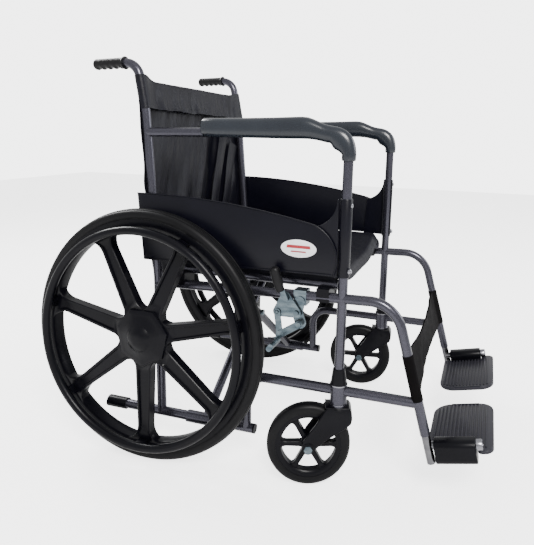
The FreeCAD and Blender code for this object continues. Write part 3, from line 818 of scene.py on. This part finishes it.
def ribSpan(y):
    # a rib stops short of the rounded corners
    heel, tip = plate["heelRound"], plate["toeRound"]
    atToe = tip - sqrt(max(0.0, tip ** 2 - max(0.0, plate["toe"] + tip - y) ** 2))
    atHeel = heel - sqrt(max(0.0, heel ** 2 - max(0.0, y - plate["back"] + heel) ** 2))
    end = plate["outer"] - 12 if y > -103 else plate["wing"] - 12
    return plate["inner"] + 10 + max(atToe, atHeel), end


def footPlates():
    for side, sign in sides:
        place = mirrored(sign) @ Matrix.Translation(footHinge) @ Matrix.Rotation(radians(-footTilt), 4, "X")
        bm = bmesh.new()
        slab = bmesh.new()
        prism(slab, plateOutline(), -18, -9.5, "Z")
        bevelEdges(slab, 2.2, 3, 50.0)
        merge(bm, slab)
        for i in range(plate["ribs"]):
            y = plate["back"] - 12 - plate["pitch"] * i
            start, end = ribSpan(y)
            rib = bmesh.new()
            prism(rib, [(start, y - 2), (end, y - 2), (end, y + 2), (start, y + 2)], -10.2, -6.6, "Z")
            bevelEdges(rib, 0.9, 2, 50.0)
            merge(bm, rib)
        x, low, high = plate["inner"], plate["toe"] + plate["toeRound"], plate["back"] - plate["heelRound"]
        rim = bmesh.new()
        prism(rim, [(x + 3.5, low), (x + 6.5, low), (x + 6.5, high), (x + 3.5, high)], -10.2, -7.6, "Z")
        merge(bm, rim)
        addPiece(side + ".foot_plate", bm, "plate_plastic", side + "_foot", [side + "_footplate"], place)
        bm = bmesh.new()
        block = cornerArc(5, 0, 14, 0) + cornerArc(-5, 0, 14, 90)
        block += cornerArc(-10, -27, 9, 180) + cornerArc(7, -24, 12, 270)
        prism(bm, block, -101, -13.5, "Y")
        web = bmesh.new()
        prism(web, [(-30, -98), (-8, -98), (-8, -17), (-30, -17)], -18, -8.6, "Z")
        bevelEdges(bm, 1.6, 2, 50.0)
        bevelEdges(web, 1.5)
        merge(bm, web)
        addPiece(side + ".foot_hinge", bm, "black_moulding", side + "_foot", place=place)
        bm = bmesh.new()
        lathe(bm, [(0, 8.1), (0, 10.6), (1, 11.4), (12, 11.4), (13.5, 10.4), (13.5, 6), (11, 5.4)], 36)
        tip = place @ Matrix.Translation((0, -101.6, 0)) @ Matrix.Rotation(-pi / 2, 4, "Z")
        addPiece(side + ".hinge_end", bm, "bearing_steel", side + "_frame", place=tip)


footPlates()
print("footplates ready")

# brake grips and the bright rings on the caster housings

leverGrip = {"low": (282.9, -335.2, 443.0), "high": (282.9, -318.0, 498.0)}
housingEnds = (190.0, 234.5)


def smallTrim():
    for side, sign in sides:
        mirror = mirrored(sign)
        bm = bmesh.new()
        lowEnd, highEnd = Vector(leverGrip["low"]), Vector(leverGrip["high"])
        along = (highEnd - lowEnd).normalized()
        across = Vector((1, 0, 0))
        out = along.cross(across)
        rings = []
        for i in range(31):
            t = i / 30
            r = 8.6 + 2.0 * softStep(t * 2.2)
            if t > 0.84:
                r *= sqrt(max(0.02, 1 - ((t - 0.84) / 0.162) ** 2))
            if i == 0:
                r = 7.4
            rings.append(roundRing(lowEnd + (highEnd - lowEnd) * t, across, out, r, r * 1.05, 28, 2.3))
        loft(bm, rings)
        addPiece(side + ".lever_grip", bm, "grip_rubber", side + "_brake_arm", [side + "_brake_grip"],
                 mirror, 60.0)
        bm = bmesh.new()
        for z in housingEnds:
            ring = bmesh.new()
            lathe(ring, [(z - 1.2, 18.5), (z - 1.2, 20.0), (z + 1.2, 20.0), (z + 1.2, 18.5)], 40)
            merge(bm, ring, Matrix.Translation((frameX, casterPost, 0)) @ Matrix.Rotation(-pi / 2, 4, "Y"))
        addPiece(side + ".housing_rings", bm, "bearing_steel", side + "_frame", place=mirror)


smallTrim()
print("small trim ready")

# soft goods: bands sleeved over two tubes, sheets with folds

def tubePoint(line, t):
    # point and run direction at share t along a line of (y, z) points
    total = [0.0]
    for a, b in zip(line, line[1:]):
        total.append(total[-1] + sqrt((b[0] - a[0]) ** 2 + (b[1] - a[1]) ** 2))
    s = t * total[-1]
    for i in range(len(line) - 1):
        if s <= total[i + 1] or i == len(line) - 2:
            k = (s - total[i]) / (total[i + 1] - total[i])
            y = line[i][0] + (line[i + 1][0] - line[i][0]) * k
            z = line[i][1] + (line[i + 1][1] - line[i][1]) * k
            run = Vector((0.0, line[i + 1][0] - line[i][0], line[i + 1][1] - line[i][1])).normalized()
            return y, z, run


def bandSection(half, radius, gap, spread, across, turns=14):
    # closed section round two tubes: (x, offset from the tubes' plane)
    def thin(x):
        near = min(1.0, (half - abs(x)) / spread)
        return gap + (radius - gap) * (1 - softStep(near))
    points = []
    for i in range(turns + 1):
        turn = radians(-90 + 180 * i / turns)
        points.append((half + radius * cos(turn), radius * sin(turn)))
    for i in range(1, across):
        x = half - 2 * half * i / across
        points.append((x, thin(x)))
    for i in range(turns + 1):
        turn = radians(90 + 180 * i / turns)
        points.append((-half + radius * cos(turn), radius * sin(turn)))
    for i in range(1, across):
        x = -half + 2 * half * i / across
        points.append((x, -thin(x)))
    return points


backBand = {"line": [(53.2, 926), (46.5, 892), (37.8, 845)], "radius": 12.8, "gap": 2.6, "spread": 46.0,
            "rows": 30, "sag": 9.0}


def bandOfBack():
    spec = backBand
    bm = bmesh.new()
    section = bandSection(frameX, spec["radius"], spec["gap"], spec["spread"], 96)
    rows = []
    for k in range(spec["rows"] + 1):
        t = k / spec["rows"]
        y, z, run = tubePoint(spec["line"], t)
        normal = Vector((1, 0, 0)).cross(run)
        if normal.y > 0:
            normal = -normal
        row = []
        for x, d in section:
            inner = softStep((frameX - abs(x)) / 60.0)
            sag = spec["sag"] * (1 - t) ** 1.5 * inner * (1.0 - 0.25 * (x / frameX))
            lift = 5.0 * t ** 3 * inner * (0.6 + 0.4 * sin(x * 0.05 + 1.0))
            fold = noiseAt(x * 0.020, t * 0.9, 3.1 if d > 0 else 3.4)
            pleat = noiseAt(x * 0.055, t * 0.5, 8.2)
            gather = noiseAt(x * 0.11, t * 1.6, 5.7)
            push = inner * (9.0 * fold * (0.4 + 0.6 * t) + 7.0 * pleat * t + 4.5 * gather * t ** 2)
            hem = 0.7 * (exp(-((t - 0.1) / 0.014) ** 2) + exp(-((t - 0.9) / 0.016) ** 2))
            swell = 7.0 * inner * sin(pi * t)
            base = Vector((x, y, z)) + run * (sag - lift * 0.5 + 7.0 * (x / frameX + 1))
            side = 1 if d > 0 else -1
            row.append(base + normal * (d + push - swell * 0.5 - side * hem * (0.6 if inner > 0 else 0.2)))
        rows.append(row)
    weldRings(bm, rows, True)
    return splitAcross(bm, "back_band", 1.2, ())


seamX = 228.0      # the soft pieces are cut here, so that each end stays with its own side frame


def splitAcross(bm, name, thickness, stands, finish="sling_cloth"):
    made = []
    for part, low, high, body in (("near", -400.0, -seamX, "right_frame"),
                                  ("middle", -seamX, seamX, "right_frame"),
                                  ("far", seamX, 400.0, "left_frame")):
        cut = bm.copy()
        for x, keepAbove in ((low, True), (high, False)):
            bmesh.ops.bisect_plane(cut, geom=cut.verts[:] + cut.edges[:] + cut.faces[:], dist=1e-4,
                                   plane_co=(x, 0, 0), plane_no=(1, 0, 0), clear_inner=keepAbove,
                                   clear_outer=not keepAbove)
        bmesh.ops.recalc_face_normals(cut, faces=cut.faces)
        bmesh.ops.solidify(cut, geom=cut.faces[:], thickness=thickness)
        made.append(addPiece(name + "." + part, cut, finish, body, stands if part == "middle" else (),
                             sharp=60.0))
    bm.free()
    return made


backSheet = {"line": [(39.5, 866), (37, 838), (1.9, 390)], "half": 259.0, "behind": 13.4, "slant": 143.0,
             # slanting folds: where each crosses, how deep, how wide
             "folds": ((205.0, 8.0, 13.0), (132.0, 9.0, 15.0), (62.0, 3.5, 18.0))}


def sheetPush(x, down, inner):
    # forward and back of the cloth: slack, gathers under the band, slanting folds
    lean = x + 90.0 * down
    gather = exp(-down / 0.10)
    push = inner * (13.0 * noiseAt(lean * 0.009, down * 1.8, 1.3)
                    + 9.0 * noiseAt(lean * 0.022, down * 1.6, 4.4)
                    + 3.6 * noiseAt(lean * 0.05, down * 3.5, 7.7)
                    + 8.0 * gather * noiseAt(x * 0.07, 0.4, 2.2))
    strength = softStep((down - 0.15) * 5) * inner
    for centre, depth, wide in backSheet["folds"]:
        off = x - centre + backSheet["slant"] * (down - 0.3)
        push -= depth * exp(-(off / wide) ** 2) * strength
        push += depth * 0.7 * exp(-((off - 24) / (wide * 1.3)) ** 2) * strength
    return push


def sheetOfBack():
    bm = bmesh.new()
    columns, rows = 110, 96
    grid = []
    for k in range(rows + 1):
        t = 0.965 * k / rows
        y, z, run = tubePoint(backSheet["line"], t)
        down = 1.213 * t
        tuck = 1 - 0.03 * softStep((down - 0.98) / 0.14)
        row = []
        for i in range(columns + 1):
            x = backSheet["half"] * (2 * i / columns - 1)
            wrap = max(0.0, abs(x) - 238.0) / 21.0
            inner = softStep((250 - abs(x)) / 90.0)
            belly = 16.0 * inner * sin(pi * min(1.0, down * 0.88 + 0.05))
            edge = 5.0 * noiseAt(2.0 if x > 0 else 9.0, down * 5.0, 0.5) * (1 - inner)
            wide = wrap * (edge + 9.0 * exp(-((down - 0.52) / 0.09) ** 2))
            push = sheetPush(x, down, inner)
            depth = y + backSheet["behind"] + belly * 0.8 + push * 0.9 - 5.0 * wrap * wrap
            row.append((x * tuck + (wide if x > 0 else -wide), depth, z))
        grid.append(row)
    weldRings(bm, grid, False)
    return splitAcross(bm, "back_sheet", 1.3, ["back_sling"])


# name, top, bottom, seed of each flat strip lying on the front of the back sheet
backStrips = (("back_strip_a", (152.0, 786.0), (44.0, 520.0), 1.0),
              ("back_strip_b", (206.0, 750.0), (112.0, 508.0), 4.0))
stripWidth = 50.0


def stripOfBack(name, top, bottom, seed):
    bm = bmesh.new()
    rows, columns = 40, 8
    grid = []
    for k in range(rows + 1):
        t = k / rows
        x = top[0] + (bottom[0] - top[0]) * t
        z = top[1] + (bottom[1] - top[1]) * t
        y = 5.0 + 34.5 * (z - 430) / 436
        row = []
        for i in range(columns + 1):
            s = (i / columns - 0.5) * stripWidth * (1 - 0.12 * sin(pi * t))
            bow = 3.0 * cos(pi * (i / columns - 0.5)) + 3.0 * noiseAt(t * 2.5, s * 0.01, seed)
            row.append((x + s * 0.95, y + 5.0 - bow + 3.0 * sin(pi * t), z - s * 0.31))
        grid.append(row)
    weldRings(bm, grid, False)
    bmesh.ops.recalc_face_normals(bm, faces=bm.faces)
    bmesh.ops.solidify(bm, geom=bm.faces[:], thickness=1.6)
    return addPiece(name, bm, "sling_cloth", "right_frame", sharp=60.0)


# the strap's top and bottom edge, measured up the hanger from its lower end
calfBand = {"hanger": ((-588.0, 433.0), (-660.3, 152.0)), "edges": (176.0, 76.0), "radius": 12.6, "gap": 1.6,
            "spread": 20.0, "rows": 24, "squeeze": 0.16, "droop": 4.0}


def calfStrap():
    spec = calfBand
    bm = bmesh.new()
    a, b = (Vector((0.0, *end)) for end in spec["hanger"])
    slope = (b - a).normalized()
    line = [tuple((b - slope * s).yz) for s in spec["edges"]]
    section = bandSection(frameX, spec["radius"], spec["gap"], spec["spread"], 90)
    rows = []
    for k in range(spec["rows"] + 1):
        t = k / spec["rows"]
        row = []
        for x, d in section:
            inner = softStep((frameX - abs(x)) / 190.0)
            y, z, run = tubePoint(line, 0.5 + (t - 0.5) * (1 - spec["squeeze"] * inner))
            normal = Vector((1, 0, 0)).cross(run)
            if normal.y > 0:
                normal = -normal
            twist = 6.0 * inner * sin((t - 0.5) * 2.2) * sin(pi * (x + frameX) / (2 * frameX))
            crease = inner * 2.5 * noiseAt(x * 0.02, t * 2.2, 6.0)
            row.append(Vector((x, y, z - spec["droop"] * inner)) + normal * (d - twist + crease))
        rows.append(row)
    weldRings(bm, rows, True)
    return splitAcross(bm, "calf_band", 1.0, ["calf_strap"], "strap_web")


seatSpec = {"railX": 222.0, "railZ": 453.6, "wrap": 12.4, "plump": 24.0, "sag": 30.0, "front": -451.0,
            "depth": 436.0}


def seatProfile():
    # x, height and padding across the seat: round one rail, over the sag, round the other
    railX, railZ, wrap, plump = (seatSpec[key] for key in ("railX", "railZ", "wrap", "plump"))
    profile = []
    for i in range(15):
        turn = radians(138 - 48 * i / 14)
        profile.append((-railX + wrap * cos(turn), railZ + wrap * sin(turn), plump * (i / 14) ** 2))
    for i in range(1, 80):
        x = -railX + 2 * railX * i / 80
        share = 1 - (x / railX) ** 2
        profile.append((x, railZ + wrap - seatSpec["sag"] * softStep(share * 1.15), plump))
    return profile + [(-x, z, lift) for x, z, lift in reversed(profile[:15])]


def seatSheet():
    bm = bmesh.new()
    rows = 80
    grid = []
    for k in range(rows + 1):
        t = k / rows
        y = seatSpec["front"] + seatSpec["depth"] * t
        rolled = 1 - 0.85 * exp(-(t / 0.022) ** 2) - 0.85 * exp(-((1 - t) / 0.022) ** 2)
        hem = 0.8 * exp(-((t - 0.03) / 0.012) ** 2) + 0.8 * exp(-((t - 0.97) / 0.012) ** 2)
        dip = hem + 5.0 * exp(-t / 0.05)
        row = []
        for x, z, lift in seatProfile():
            inner = softStep((seatSpec["railX"] - abs(x)) / 50.0)
            push = 3.0 * noiseAt(x * 0.012, y * 0.012, 2.0) + 1.6 * noiseAt(x * 0.04, y * 0.02, 5.0)
            row.append((x, y, z + lift * rolled + inner * (push - dip)))
        grid.append(row)
    weldRings(bm, grid, False)
    bmesh.ops.recalc_face_normals(bm, faces=bm.faces)
    bmesh.ops.solidify(bm, geom=bm.faces[:], thickness=1.2)
    return addPiece("seat_sheet", bm, "sling_cloth", None, ["seat_sling"], sharp=60.0)


def softGoods():
    # each middle part and each back strip gets a mesh of its own; the seat sheet's placement is baked into
    # its mesh
    posts = ["right_back_post", "left_back_post"]
    hangers = ["right_side_rail", "left_side_rail"]
    squashed = []
    for parts, end, middle, rests in ((bandOfBack(), (0.073, 0.082), (0.92, 0.084), posts),
                                      (sheetOfBack(), (0.034, 0.465), (0.47, 0.475), posts),
                                      (calfStrap(), (0.073, 0.098), (0.92, 0.084), hangers)):
        squashed.append(parts[1])
    for row in backStrips:
        strip = stripOfBack(*row)
        squashed.append(strip)
    for piece in squashed:
        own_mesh(piece)
    seat = seatSheet()
    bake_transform(seat)


softGoods()
print("soft goods ready")
